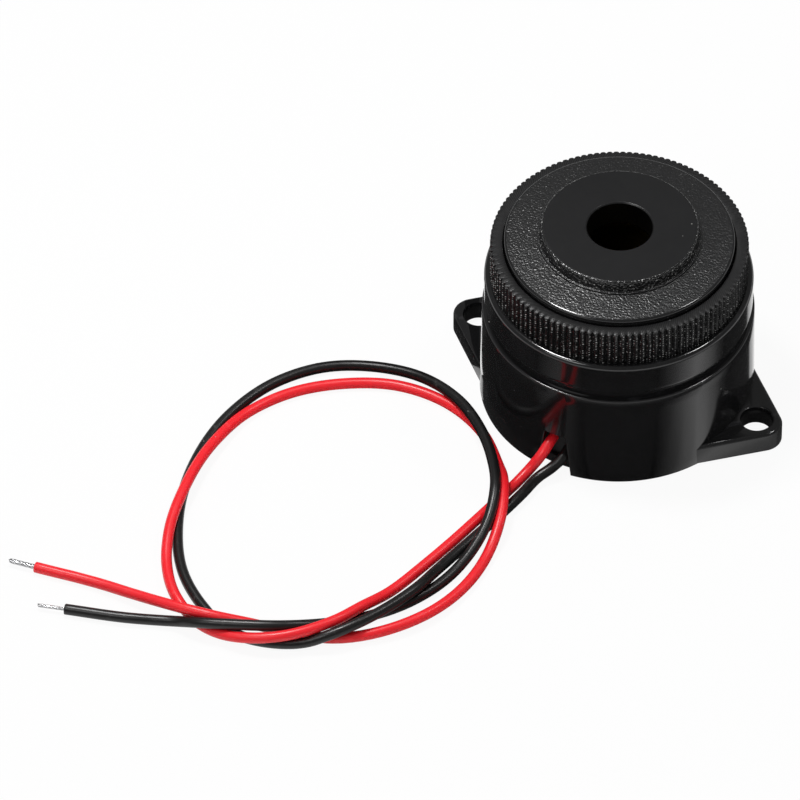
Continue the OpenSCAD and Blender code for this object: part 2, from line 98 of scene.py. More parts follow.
# %% The routes of the leads, the same points as in the CAD source, in millimetres
RED_ROUTE = [
    (-1, -10.2, 6.6), (-1, -11, 4.8), (-0.8, -12.8, 3.8), (-0.8, -14.4, 3.6), (-1.1, -15.9, 2.7),
    (-1.8, -17.1, 1.4), (-2.4, -19, 0.7), (-3.2, -23.4, 0.7), (-5.6, -34.4, 0.6),
    (-7.1, -40.1, 0.8), (-8.3, -43.9, 1.7), (-9.6, -47.3, 2.2), (-13.8, -52.1, 2.1),
    (-16.5, -53.4, 1.7), (-20.4, -53.9, 1), (-23.1, -53.3, 0.6), (-26.8, -51.4, 0.9),
    (-30.1, -47.6, 1), (-31.9, -43.8, 1.5), (-33.4, -37.3, 1.9), (-34, -29, 1.3),
    (-33.2, -23.5, 0.7), (-30.7, -18.9, 0.6), (-25.9, -14.6, 0.6), (-20.7, -12.2, 0.6),
    (-14.8, -12, 0.6), (-9.1, -14.3, 0.7), (-5.4, -17.8, 0.9), (-3.2, -20.8, 2.2),
    (-1.1, -25.5, 1.8), (-0.4, -29.2, 0.8), (-0.4, -35.8, 0.7), (-2.1, -41.4, 1),
    (-9.3, -48.6, 0.7), (-15.4, -50.3, 0.7), (-17.7, -51.1, 1.1), (-21.4, -52.7, 2),
    (-31.6, -53.2, 1), (-34.6, -53.2, 0.7), (-42.6, -54.3, 0.6),
]
BLACK_ROUTE = [
    (1.4, -9.6, 6.6), (1.4, -10, 4.6), (1.2, -11.4, 3.2), (1, -13.2, 2.6), (0.9, -14.7, 2.2),
    (0.2, -16, 1.4), (-0.6, -17.3, 0.9), (-1.1, -20.4, 0.8), (-3.9, -35.2, 1.2), (-4.2, -38.9, 2),
    (-4.8, -41, 2.1), (-9.5, -49.4, 1.8), (-11.2, -50.6, 1.1), (-14.9, -52.3, 0.7),
    (-20.2, -52.7, 0.6), (-23.6, -51.1, 0.6), (-27.6, -48.1, 0.6), (-32.2, -41.2, 0.6),
    (-34.6, -33.7, 0.6), (-34.8, -24.8, 0.7), (-32.5, -17.8, 0.7), (-29.2, -13.6, 0.6),
    (-23.2, -10.6, 0.7), (-19.6, -10.2, 1), (-13.3, -12, 1.8), (-9, -15.1, 2.3), (-5.7, -18.7, 2.7),
    (-3.2, -22.7, 3.1), (-2, -26.7, 2.1), (-1.8, -29.4, 1.5), (-2.3, -33.8, 0.7),
    (-4.2, -39.5, 0.7), (-8.6, -45.2, 0.7), (-10.8, -47.6, 1.3), (-14.2, -50.8, 2.3),
    (-19.2, -53.2, 2.3), (-23.1, -54.3, 1.7), (-24.7, -54.3, 1), (-30.3, -56.3, 0.7),
    (-36.8, -58.2, 0.6),
]
LEAD_RADIUS = 0.6 * MM
STRAIGHT_DOWN = Vector((0, 0, -1))


# %% A smooth line through a route's points
def smooth_line(route, start, lowest, pieces=10):
    """Each span is a cubic. Its direction at a point weighs the spans on both sides."""
    points = [MM * Vector(p) for p in route]
    spans = [(b - a).length for a, b in zip(points, points[1:])]
    ways = [start]
    for i in range(1, len(points) - 1):
        back, ahead = spans[i - 1], spans[i]
        before = (points[i] - points[i - 1]) / back
        after = (points[i + 1] - points[i]) / ahead
        ways.append((ahead * before + back * after) / (back + ahead))
    ways.append((points[-1] - points[-2]).normalized())
    line = []
    for i, span in enumerate(spans):
        for k in range(pieces):
            t = k / pieces
            place = (
                (2 * t**3 - 3 * t**2 + 1) * points[i] + (t**3 - 2 * t**2 + t) * span * ways[i]
                + (3 * t**2 - 2 * t**3) * points[i + 1] + (t**3 - t**2) * span * ways[i + 1]
            )
            line.append(Vector((place.x, place.y, max(place.z, lowest))))
    return line + [points[-1]]


def line_length(line):
    return sum((b - a).length for a, b in zip(line, line[1:]))


red_line = smooth_line(RED_ROUTE, STRAIGHT_DOWN, LEAD_RADIUS)
black_line = smooth_line(BLACK_ROUTE, STRAIGHT_DOWN, LEAD_RADIUS)
print("leads:", round(line_length(red_line), 4), "m and", round(line_length(black_line), 4), "m")

# %% [markdown]
# ## Sweeping a tube
#
# A ring of points is carried along the line. If every ring were turned to face up, the tube would
# twist where the line climbs. So each ring takes over the sideways direction of the ring before
# it. The attribute "straight" holds the place on the straightened lead: how far along it, and
# where round it.


# %% Sweep a tube along a line
def grid_faces(columns, count, closed=True):
    """The faces between columns of points. Each column is a loop, and so are they if closed."""
    wrap = columns if closed else columns + 1
    return [
        (c * count + k, c * count + (k + 1) % count,
         (c + 1) % wrap * count + (k + 1) % count, (c + 1) % wrap * count + k)
        for c in range(columns) for k in range(count)
    ]


def sweep(line, radii, sides=20):
    """Vertices, faces and straightened places of a closed tube."""
    heading = (line[1] - line[0]).normalized()
    side = heading.cross(Vector((1, 0, 0.1))).normalized()
    vertices, straight, along = [], [], 0.0
    for i, (place, radius) in enumerate(zip(line, radii)):
        across = line[min(i + 1, len(line) - 1)] - line[max(i - 1, 0)]
        if across.dot(heading) > 0:
            heading = across.normalized()
        side = (side - side.dot(heading) * heading).normalized()
        third = heading.cross(side)
        along += (place - line[i - 1]).length if i else 0.0
        for k in range(sides):
            turn = 2 * math.pi * k / sides
            vertices.append(place + radius * (math.cos(turn) * side + math.sin(turn) * third))
            straight.append((along, LEAD_RADIUS * math.cos(turn), LEAD_RADIUS * math.sin(turn)))
    last = (len(line) - 1) * sides
    faces = grid_faces(len(line) - 1, sides, closed=False)
    faces += [tuple(range(sides - 1, -1, -1)), tuple(range(last, last + sides))]
    return vertices, faces, straight


def make_piece(name, vertices, faces, straight=None, sharp_angle=50):
    """A smooth-shaded mesh object that rides on the part's one body."""
    mesh = bpy.data.meshes.new(name)
    mesh.from_pydata([tuple(v) for v in vertices], [], faces)
    if straight is not None:
        store = mesh.attributes.new("straight", "FLOAT_VECTOR", "POINT")
        store.data.foreach_set("vector", np.array(straight, np.float32).ravel())
    mesh.shade_smooth()
    mesh.set_sharp_from_angle(angle=math.radians(sharp_angle))
    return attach(make_object(name, mesh), "root")


# %% [markdown]
# The cut end of soft PVC isn't a knife edge. The stripping tool draws it in a little, and its
# mouth is slightly hollow, so the strands come out of the dark.

# %% Make the insulation of both leads
# Each ring of the mouth: millimetres past the lead's end, and its share of the lead's radius
MOUTH = [(-0.11, 1.0), (-0.05, 0.98), (-0.015, 0.93), (0, 0.85), (-0.01, 0.68), (-0.12, 0.56)]
MOUTH_ROOM = 0.14 * MM


def make_insulation(name, line):
    """The lead's tube, with a rounded and slightly hollow mouth at its far end."""
    way = (line[-1] - line[-2]).normalized()
    body = [p for p in line if (p - line[-1]).length > MOUTH_ROOM]
    rings = body + [line[-1] + step * MM * way for step, _ in MOUTH]
    radii = [LEAD_RADIUS] * len(body) + [LEAD_RADIUS * share for _, share in MOUTH]
    return make_piece(name, *sweep(rings, radii))


red_insulation = make_insulation("red_insulation", red_line)
black_insulation = make_insulation("black_insulation", black_line)
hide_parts("red_lead")
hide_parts("black_lead")

# %% [markdown]
# ## The bare ends
#
# Under the PVC are seven thin copper wires, dipped in tin: one straight core and six wires wound
# round it. The tip was snipped with a cutter, so they end at slightly different lengths.

# %% Twist the tinned strands
INSIDE_PVC = 0.25 * MM
WIRE_STEPS = 26


def make_strands(name, line, thickness, length, lay, uneven):
    """Six wires wound round a core, with tin between them, going straight on from the lead."""
    way = (line[-1] - line[-2]).normalized()
    side = way.cross(Vector((0, 0, 1))).normalized()
    third = way.cross(side)
    wire = thickness / 6
    vertices, faces, straight = [], [], []
    for k in range(7):
        reach = length * (1 - uneven * ((k * 5) % 7) / 7)
        out = 0.0 if k == 6 else thickness / 2 - wire
        radius = wire * 1.08 if k < 6 else thickness / 2 - 0.9 * wire
        place = []
        for i in range(WIRE_STEPS + 1):
            s = (reach + INSIDE_PVC) * i / WIRE_STEPS - INSIDE_PVC
            turn = 2 * math.pi * (s / lay + k / 6)
            arm = math.cos(turn) * side + math.sin(turn) * third
            place.append(line[-1] + s * way + out * arm)
        radii = [radius] * (WIRE_STEPS - 1) + [radius * 0.9, radius * 0.45]
        new_vertices, new_faces, new_straight = sweep(place, radii, 12)
        faces += [tuple(v + len(vertices) for v in face) for face in new_faces]
        vertices += new_vertices
        straight += new_straight
    return make_piece(name, vertices, faces, straight)


red_strands = make_strands("red_strands", red_line, 0.55 * MM, 3 * MM, 4.2 * MM, 0.05)
black_strands = make_strands("black_strands", black_line, 0.40 * MM, 3 * MM, 3.4 * MM, 0.03)
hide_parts("red_lead_strands")
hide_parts("black_lead_strands")

# %% [markdown]
# The exit is the point where a lead crosses the case's outer wall in the notch.

# %% [markdown]
# ## Tools for the finishes
#
# A material in Blender is a small network of nodes. These helpers keep the cells below short. A
# socket gets a number or another socket in the same way, and a new node finds its network by
# itself, from the socket that it is fed with.


# %% Helpers for single nodes
def fill(socket, value):
    """Gives a socket a value, or joins another socket to it."""
    if isinstance(value, bpy.types.NodeSocket):
        socket.id_data.links.new(value, socket)
    else:
        socket.default_value = value


def feed(node, **values):
    """Fills a node's sockets by name, with _ for a space."""
    for name, value in values.items():
        fill(node.inputs[name.replace("_", " ")], value)
    return node


def add_node(tree, kind, settings=None, **values):
    """A new shader node with its settings and sockets."""
    made = tree.nodes.new("ShaderNode" + kind)
    for name, value in (settings or {}).items():
        setattr(made, name, value)
    return feed(made, **values)


def calc(operation, *values, clamp=False):
    """A Math node. At least one of its values is a socket."""
    tree = next(v.id_data for v in values if isinstance(v, bpy.types.NodeSocket))
    made = add_node(tree, "Math", {"operation": operation, "use_clamp": clamp})
    for socket, value in zip(made.inputs, values):
        fill(socket, value)
    return made.outputs[0]


def product(first, *others):
    """All the values multiplied."""
    for other in others:
        first = calc("MULTIPLY", first, other)
    return first


def beyond(value, start, gain):
    """0 up to start, then it climbs by gain to 1. A negative gain makes it 1 below start."""
    return calc("MULTIPLY", calc("SUBTRACT", value, start), gain, clamp=True)


def mix_colours(mask, first, second):
    """A colour between first, where the mask is 0, and second, where it is 1."""
    made = add_node(mask.id_data, "Mix", {"data_type": "RGBA"})
    fill(made.inputs[0], mask)
    for socket, colour in ((made.inputs[6], first), (made.inputs[7], second)):
        fill(socket, (*colour, 1) if isinstance(colour, tuple) else colour)
    return made.outputs[2]


def noise_at(place, scale, detail, roughness=0.5):
    """Soft clouds between 0 and 1."""
    made = add_node(place.id_data, "TexNoise", Vector=place, Scale=scale, Detail=detail)
    return feed(made, Roughness=roughness).outputs["Fac"]


def stretched(place, scale):
    """A place scaled differently along its axes, which draws a texture out."""
    return add_node(place.id_data, "Mapping", Vector=place, Scale=scale).outputs["Vector"]


# %% [markdown]
# A node group is a network with named inputs and outputs that several materials can share.


# %% Helpers for shared groups
def start_group(name, inputs, outputs):
    """An empty node group with a Position and other inputs, its inputs and its output node."""
    tree = bpy.data.node_groups.new(name, "ShaderNodeTree")
    tree.interface.new_socket("Position", in_out="INPUT", socket_type="NodeSocketVector")
    for label, value in inputs.items():
        socket = tree.interface.new_socket(label, in_out="INPUT", socket_type="NodeSocketFloat")
        socket.default_value = value
    for label in outputs:
        tree.interface.new_socket(label, in_out="OUTPUT", socket_type="NodeSocketFloat")
    return tree, tree.nodes.new("NodeGroupInput").outputs, tree.nodes.new("NodeGroupOutput")


def place_group(group, position, **values):
    """Puts a shared group into a material, fed with a position in metres."""
    made = position.id_data.nodes.new("ShaderNodeGroup")
    made.node_tree = group
    return feed(made, Position=position, **values).outputs


# %% [markdown]
# ## Shared effect: moulded skin
#
# A polished mould still leaves a skin that isn't perfect. It ripples a little over a few
# millimetres where the plastic shrank, and its gloss changes in soft clouds. Two noise textures
# make the two scales, as a height and a roughness.

# %% Build the moulded skin group
moulded_skin, given, wanted = start_group(
    "moulded_skin", {"Gloss Size": 900.0, "Ripple Size": 260.0, "Roughness": 0.16, "Spread": 0.08},
    ["Roughness", "Height"],
)
clouds = noise_at(given["Position"], given["Gloss Size"], 4.0, 0.6)
spread = product(calc("SUBTRACT", clouds, 0.5), given["Spread"])
feed(wanted, Roughness=calc("ADD", spread, given["Roughness"], clamp=True),
     Height=noise_at(given["Position"], given["Ripple Size"], 2.0, 0.45))

# %% [markdown]
# ## Shared effect: spark grain
#
# The ground round the boss has a leathery grain. Toolmakers burn it into the mould with sparks, as
# a field of overlapping shallow craters. A smooth Voronoi texture gives the craters, and a noise
# texture breaks up their edges and makes some deeper than others.

# %% Build the spark grain group
spark_grain, given, wanted = start_group("spark_grain", {"Grain": 4200.0}, ["Height"])
craters = add_node(spark_grain, "TexVoronoi", {"feature": "SMOOTH_F1"},
                   Vector=given["Position"], Scale=given["Grain"], Smoothness=0.6)
wobble = noise_at(given["Position"], given["Grain"], 1.5)
feed(wanted, Height=calc("MULTIPLY_ADD", craters.outputs["Distance"], 0.5, wobble))

# %% [markdown]
# ## Shared effect: dust specks and painted glints
#
# Black plastic draws dust: a few pale specks, each smaller than a tenth of a millimetre. The same
# specks, paler and more of them, are also painted glints that stand in for highlights on grain.
# Every cell of a Voronoi texture can hold one speck, and the cell's own random colour decides
# whether it does and how large it is.

# %% Build the group of dust specks and painted glints
SMALLEST_SPECK = 0.35
dust_and_glint_specks, given, wanted = start_group(
    "dust_and_glint_specks", {"Cells": 900.0, "Share": 0.1, "Radius": 0.09}, ["Mask"])
cells = add_node(dust_and_glint_specks, "TexVoronoi", Vector=given["Position"], Scale=given["Cells"]).outputs
lot = add_node(dust_and_glint_specks, "SeparateColor", Color=cells["Color"]).outputs
chosen = calc("LESS_THAN", lot["Red"], given["Share"])
reach = product(calc("ADD", lot["Green"], SMALLEST_SPECK), given["Radius"])
feed(wanted, Mask=product(beyond(cells["Distance"], reach, -40.0), chosen))

# %% [markdown]
# ## Shared effect: rubbed edges
#
# Handling lightens the corners of black plastic by a trace. The Geometry node's Pointiness is high
# on convex edges, and noise keeps the wear from being even.

# %% Build the rubbed edge group
rubbed_edges, given, wanted = start_group("rubbed_edges", {}, ["Mask"])
edge = add_node(rubbed_edges, "NewGeometry").outputs["Pointiness"]
feed(wanted, Mask=product(beyond(edge, 0.53, 14.0), noise_at(given["Position"], 700.0, 3.0)))
print("shared effects:", [group.name for group in bpy.data.node_groups])


# %% [markdown]
# ## Starting a material
#
# Every finish below begins the same way: a Principled shader with a moulded skin, and the position
# on the part in metres, so that a grain of 0.2 mm is 0.2 mm on every piece. Bumps add heights, one
# after the other, and their depth is a real depth in metres.


# %% Start a material and stack bumps on it
def start_material(name, roughness, spread, skin_sizes={}, along_lead=False, **sockets):
    """A Principled material. Returns it, its shader, the place on the part and its skin."""
    material = bpy.data.materials.new(name)
    material.use_nodes = True
    tree = material.node_tree
    if along_lead:
        place = add_node(tree, "Attribute", {"attribute_name": "straight"}).outputs["Vector"]
    else:
        place = add_node(tree, "TexCoord").outputs["Object"]
    skin = place_group(moulded_skin, place, Roughness=roughness, Spread=spread, **skin_sizes)
    shader = feed(tree.nodes["Principled BSDF"], Roughness=skin["Roughness"], **sockets)
    return material, shader, place, skin


def stack_bump(shader, height, depth):
    """Adds a height, as deep as given in metres, to what the shader's Normal already has."""
    bump = add_node(shader.id_data, "Bump", Strength=1.0, Distance=depth, Height=height)
    if shader.inputs["Normal"].is_linked:
        feed(bump, Normal=shader.inputs["Normal"].links[0].from_socket)
    feed(shader, Normal=bump.outputs["Normal"])


def dust_and_glint_specked(place, colour, tone, **values):
    """A colour with specks of a tone on it: dust, and painted glints where the tone is pale."""
    return mix_colours(place_group(dust_and_glint_specks, place, **values)["Mask"], colour, tone)


# %% [markdown]
# ## Black plastics
#
# The case and the collar are polished ABS: nearly black, with a clear reflection. The face of
# the boss was left satin in the mould, and the ground round the boss has the spark grain. The
# boss's side has a coarser, glossier grain. Its glints, and a few on the ground, are painted: pale
# specks in the colour that stand in for highlights. The port's wall is painted nearly black and
# dull, as painted shade, since no light finds its way into it. They are one recipe with
# different amounts.


# %% A recipe for moulded black plastic
def moulded_black(name, shade, roughness, spread, ripple=0.000002, grain=0.0, grain_size=4200.0,
                  dust=0.06, painted_glints=0.0, painted_glint_tone=0.13, shine=0.5, wear=0.5):
    """Black plastic with moulded skin, a few dust specks, grain, and painted glints where wanted."""
    material, shader, place, skin = start_material(
        name, roughness, spread, Specular_IOR_Level=shine)
    stack_bump(shader, skin["Height"], ripple)
    if grain:
        rough = place_group(spark_grain, place, Grain=grain_size)
        stack_bump(shader, rough["Height"], grain)
    deep, pale = [tuple(part * c for c in (shade, shade, shade * 1.06)) for part in (0.82, 1.18)]
    body = mix_colours(noise_at(place, 300.0, 3.0), deep, pale)
    if wear:
        worn = place_group(rubbed_edges, place)
        body = mix_colours(product(worn["Mask"], wear), body, (0.06, 0.06, 0.065))
    # Painted glints: pale specks in the colour that stand in for highlights on the grain.
    if painted_glints:
        body = dust_and_glint_specked(place, body, (painted_glint_tone, painted_glint_tone, painted_glint_tone * 0.97),
                      Cells=3300.0, Share=painted_glints, Radius=0.24)
    feed(shader, Base_Color=dust_and_glint_specked(place, body, (0.22, 0.22, 0.21), Share=dust))
    return material


gloss_black = moulded_black("gloss_black", 0.007, 0.12, 0.05, shine=0.75)
satin_black = moulded_black("satin_black", 0.0085, 0.30, 0.05, ripple=0.000001, grain=0.0000015,
                            grain_size=9000.0, wear=0.0)
# The grained ground and the boss's side carry painted glints: pale specks standing in for
# highlights.
spark_black = moulded_black("spark_black", 0.0055, 0.33, 0.06, grain=0.00007, grain_size=3900.0,
                            dust=0.12, painted_glints=0.02, shine=0.85)
side_black = moulded_black("side_black", 0.006, 0.18, 0.10, grain=0.00012, grain_size=3200.0,
                           dust=0.12, painted_glints=0.5, painted_glint_tone=0.32, shine=0.8)
# The port's wall: nearly black and dull, as painted shade for its deep recess.
port_painted_shade = moulded_black("port_painted_shade", 0.001, 0.6, 0.10, shine=0.08)

# %% [markdown]
# ## Turned sections
#
# Most of this part is round, so it is drawn as half of its section and turned about the Z axis. No
# real corner is perfectly sharp, and the thin bright lines on the real part are light caught by
# its small roundings. So each corner of a section carries its own radius, and a helper swaps the
# corner for a short arc.


# %% Round the corners of a section
def round_corners(corners, steps=5):
    """Corners are (x, z, radius) in mm, in a closed loop. Each is replaced by an arc."""
    corners = [(x * MM, z * MM, radius * MM) for x, z, radius in corners]
    points = []
    for i, (x, z, radius) in enumerate(corners):
        here = Vector((x, z))
        back = (Vector(corners[i - 1][:2]) - here).normalized()
        ahead = (Vector(corners[(i + 1) % len(corners)][:2]) - here).normalized()
        if radius == 0:
            points.append((x, z))
            continue
        half = back.angle(ahead) / 2
        start = here + back * radius / math.tan(half)
        end = here + ahead * radius / math.tan(half)
        middle = here + (back + ahead).normalized() * radius / math.sin(half)
        a, b = start - middle, end - middle
        whole = a.angle(b)
        for k in range(steps + 1):
            first, second = math.sin((1 - k / steps) * whole), math.sin(k / steps * whole)
            points.append(tuple(middle + (first * a + second * b) / math.sin(whole)))
    return points


# %% Add points on the long sides of a section
def with_supports(section, near=0.12 * MM, longest=0.9 * MM):
    """Points close to the ends of a long side keep a corner's shade from crossing it."""
    points = []
    for (x, z), (x2, z2) in zip(section, section[1:] + section[:1]):
        long = math.hypot(x2 - x, z2 - z)
        points.append((x, z))
        if long > 3 * near:
            count = math.ceil((long - 2 * near) / longest)
            for share in [(near + (long - 2 * near) * k / count) / long for k in range(count + 1)]:
                points.append((x + (x2 - x) * share, z + (z2 - z) * share))
    return points


# %% Turn a closed section about the Z axis
def turned(section, columns=288, centre=(0, 0)):
    """Vertices and faces of a closed ring with the given section."""
    turns = [2 * math.pi * c / columns for c in range(columns)]
    vertices = [
        (centre[0] + r * math.cos(turn), centre[1] + r * math.sin(turn), z)
        for turn in turns for r, z in section
    ]
    return vertices, grid_faces(columns, len(section))


# %% [markdown]
# Smooth shading bends the light over a corner's whole neighbourhood, which makes flat faces look
# dented. The Weighted Normal modifier lets the large faces decide the shading.


# %% Finish the shading of a moulded piece
def finish_shading(piece, soften=0.0, sharper_than=60):
    """Turns all faces outwards, rounds its sharp edges by soften, and weighs its normals."""
    work = bmesh.new()
    work.from_mesh(piece.data)
    bmesh.ops.recalc_face_normals(work, faces=work.faces)
    if soften:
        inner = [e for e in work.edges if len(e.link_faces) == 2]
        sharp = math.radians(sharper_than)
        edges = [e for e in inner if e.calc_face_angle() > sharp and e.is_convex]
        bmesh.ops.bevel(work, geom=edges, offset=soften, segments=3, profile=0.5,
                        affect="EDGES", clamp_overlap=True)
    work.to_mesh(piece.data)
    work.free()
    piece.data.shade_smooth()
    piece.data.set_sharp_from_angle(angle=math.radians(44))
    piece.modifiers.new("weigh_normals", "WEIGHTED_NORMAL").keep_sharp = True
    return piece


def paint(piece, materials, choose=None):
    """Gives a piece its materials. choose picks one for a face from the face's middle."""
    for material in materials:
        piece.data.materials.append(material)
    if choose:
        for face in piece.data.polygons:
            face.material_index = choose(face.center)


# %% [markdown]
# ## The case wall
#
# The wall is a round shell with a slight draft, a rebate in its foot for the cover and a notch for
# the leads. A boolean cut would leave slivers, which a glossy surface shows at once. So the mesh
# is a clean grid whose columns, at every height, start at one slanted side of the notch and end at
# the other.

# %% Measures of the case
FOOT_R, RIM_R, BORE_R, CASE_H = 15 * MM, 14.8 * MM, 13.6 * MM, 12.3 * MM
REBATE_R, REBATE_H = 14.1 * MM, 1.2 * MM
NOTCH_H, NOTCH_FOOT, NOTCH_TOP = 5.5 * MM, 1.95 * MM, 1.25 * MM
RIM_BEVEL, BEVEL_MIDDLE = 0.15 * MM, 0.044 * MM


def outer_radius(z):
    """The wall leans inwards a little on its way up, so that it leaves the mould."""
    return FOOT_R + (RIM_R - FOOT_R) * z / CASE_H


def notch_half_width(z):
    return NOTCH_FOOT + (NOTCH_TOP - NOTCH_FOOT) * min(z / NOTCH_H, 1)


def round_point(r, turn, z):
    """A point at an angle that starts at the notch and goes round towards -X."""
    return (-r * math.sin(turn), -r * math.cos(turn), z)


# %% Build the wall as a grid that follows the notch
def case_wall(columns=360, bridge=8):
    """The section's points are swept from one side of the notch to the other."""
    heights = [0, 1.2, 2.3, 3.4, 4.5, 5.5, 8, 10.5, 12.15]
    outside = [(outer_radius(z * MM), z * MM) for z in heights]
    rim = [(RIM_R - BEVEL_MIDDLE, CASE_H - BEVEL_MIDDLE), (RIM_R - RIM_BEVEL, CASE_H)]
    inside = [(BORE_R, z * MM) for z in (12.3, 9, 5.5, 4.5, 3.4, 2.3, 1.2)]
    section = outside + rim + inside + [(REBATE_R, REBATE_H), (REBATE_R, 0)]
    last = columns * len(section)
    vertices = []
    for c in range(columns + 1):
        for r, z in section:
            start = math.asin(notch_half_width(z) / r)
            turn = start + (2 * math.pi - 2 * start) * c / columns
            vertices.append(round_point(r, turn, z))
    faces = grid_faces(columns, len(section), closed=False)
    # Above the notch the last column is joined to the first by a bridge of narrower columns.
    above = [k for k, (r, z) in enumerate(section) if z > NOTCH_H - 0.01 * MM]
    rows = {}
    for k in above:
        r, z = section[k]
        start = math.asin(NOTCH_TOP / r)
        rows[k] = [last + k] + [len(vertices) + b for b in range(bridge - 1)] + [k]
        turns = [-start + 2 * start * (b + 1) / bridge for b in range(bridge - 1)]
        vertices += [round_point(r, turn, z) for turn in turns]
    for a, b in zip(above, above[1:] + above[:1]):
        faces += [(rows[a][i], rows[b][i], rows[b][i + 1], rows[a][i + 1]) for i in range(bridge)]
    # The two sides of the notch, from the foot up. m is the first point of the section inside.
    m = len(outside) + len(rim)
    for jamb in [(0, 1, m + 7, m + 8), (1, 2, m + 5, m + 6, m + 7), (2, 3, m + 4, m + 5),
                 (3, 4, m + 3, m + 4), (4, 5, m + 2, m + 3)]:
        faces.append(jamb)
        faces.append(tuple(last + i for i in reversed(jamb)))
    return vertices, faces


# %% [markdown]
# ## The ears
#
# An ear is a flat plate with a round tip, a screw hole and a rounded upper edge. Filling a face
# with a hole in it gives long thin triangles, and a glossy plate shows them as a star. So the
# outline is looked at from the middle of the hole: at each angle a ray finds the edge, drawn in as
# far as the rounding asks. Only four-sided faces then lie between hole and outline. The root of
# the ear ends inside the thickness of the wall.

# %% Measures of the ears
EAR_T, EAR_HOLE_X, EAR_HOLE_R = 2.5 * MM, 17 * MM, 1.75 * MM
EAR_TIP_X, EAR_TIP_R, EAR_EDGE, EAR_ROOT_R = 17.7 * MM, 2.2 * MM, 0.4 * MM, 14.2 * MM
EAR_SIDE = math.radians(42)


def ear_edge(turn, inset):
    """The outline's point at an angle from the hole's middle, with the edge drawn in by inset."""
    tip, way = EAR_TIP_R - inset, Vector((math.cos(turn), math.sin(turn)))
    lean = Vector((math.sin(EAR_SIDE), math.copysign(math.cos(EAR_SIDE), way.y)))
    start = Vector((EAR_HOLE_X - EAR_TIP_X, 0))
    reach = (tip - start.dot(lean)) / max(way.dot(lean), 1e-6)
    if (start + reach * way).dot(Vector((-lean.y, lean.x))) * way.y < 0:
        along = start.dot(way)
        reach = math.sqrt(tip**2 - start.length_squared + along**2) - along
    hole = Vector((EAR_HOLE_X, 0))
    inwards = hole.dot(way)
    under_wall = inwards**2 - EAR_HOLE_X**2 + EAR_ROOT_R**2
    if inwards < 0 and under_wall > 0:
        reach = min(reach, -inwards - math.sqrt(under_wall))
    return hole + reach * way


# %% Build an ear
def ear(mirror, columns=96):
    """Rings of the same count, from the hole down, out along the foot, up and back to the hole."""
    up = [
        (EAR_EDGE * (1 - math.cos(t)), EAR_T - EAR_EDGE + EAR_EDGE * math.sin(t))
        for t in (math.pi / 2 * k / 6 for k in range(7))
    ]
    layers = [(0.05 * MM, 0.0), (0.0, 0.05 * MM)] + up
    bore = [(0.10, 2.5), (0.03, 2.47), (0.0, 2.40), (0.0, 0.08), (0.08, 0.0)]
    vertices = []
    for c in range(columns):
        turn = 2 * math.pi * (c + 0.5) / columns
        edge = [(*ear_edge(turn, inset), z) for inset, z in layers]
        for grow, z in bore:
            r = EAR_HOLE_R + grow * MM
            edge.append((EAR_HOLE_X + r * math.cos(turn), r * math.sin(turn), z * MM))
        vertices += [(mirror * x, y, z) for x, y, z in edge]
    return vertices, grid_faces(columns, len(layers) + len(bore))


# %% [markdown]
# Four ledges inside carry the circuit board. They are short blocks that grow out of the wall.

# %% The board ledges, and all of the case in one mesh
LEDGE_W, LEDGE_R, LEDGE_ROOT_R, LEDGE_LOW, LEDGE_TOP = [v * MM for v in (1.6, 12.2, 13.9, 1.2, 6.6)]


def ledge(degrees):
    turn = math.radians(degrees)
    along = Vector((math.cos(turn), math.sin(turn), 0))
    across = Vector((-math.sin(turn), math.cos(turn), 0))
    corners = [
        r * along + s * LEDGE_W / 2 * across + Vector((0, 0, z))
        for z in (LEDGE_LOW, LEDGE_TOP)
        for r, s in ((LEDGE_R, -1), (LEDGE_ROOT_R, -1), (LEDGE_ROOT_R, 1), (LEDGE_R, 1))
    ]
    sides = [(0, 1, 5, 4), (1, 2, 6, 5), (2, 3, 7, 6), (3, 0, 4, 7)]
    return corners, [(0, 1, 2, 3), (4, 5, 6, 7), *sides]


def merge(*meshes):
    """Several (vertices, faces) pairs as one."""
    vertices, faces = [], []
    for more, its_faces in meshes:
        faces += [tuple(i + len(vertices) for i in face) for face in its_faces]
        vertices += [tuple(v) for v in more]
    return vertices, faces


ledges = [ledge(degrees) for degrees in (45, 135, 225, 315)]
case_shell = make_piece("case_shell", *merge(case_wall(), ear(1), ear(-1), *ledges))
finish_shading(case_shell, soften=0.06 * MM)
paint(case_shell, [gloss_black])
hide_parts("case_body")

# %% [markdown]
# ## The cap
#
# The cap is one turned moulding: a spigot in the case, a groove that marks the seam, the collar,
# the neck for the ring, the grained ground and the boss with its sound port. The mould was
# finished differently in each zone, so a face gets its material from its place on the section.

# %% Draw the cap's section
collar_foot = [
    (13.7 + 0.9 * math.cos(t), 13.8 - 0.9 * math.sin(t), 0)
    for t in (math.radians(56.25) * (1 - k / 7) for k in range(8))
]
cap_corners = [
    (12.7, 10.9, 0), (13.45, 10.9, 0.1), (13.45, 12.3, 0), (14.2, 12.3, 0), *collar_foot,
    (14.6, 17.3, 0.5), (12.5, 17.3, 0.1), (12.5, 22.46, 0.28), (8.9, 22.74, 0.05),
    (8.9, 23.0, 0.06), (8.66, 23.0, 0.05), (8.5, 24.3, 0.25), (3.7, 24.3, 0.06),
    (3.55, 24.15, 0.06), (3.55, 21.2, 0.1), (10.8, 21.2, 0.3), (10.8, 15.6, 0.1),
    (12.7, 15.6, 0.05),
]
cap = finish_shading(make_piece("cap", *turned(with_supports(round_corners(cap_corners)))))


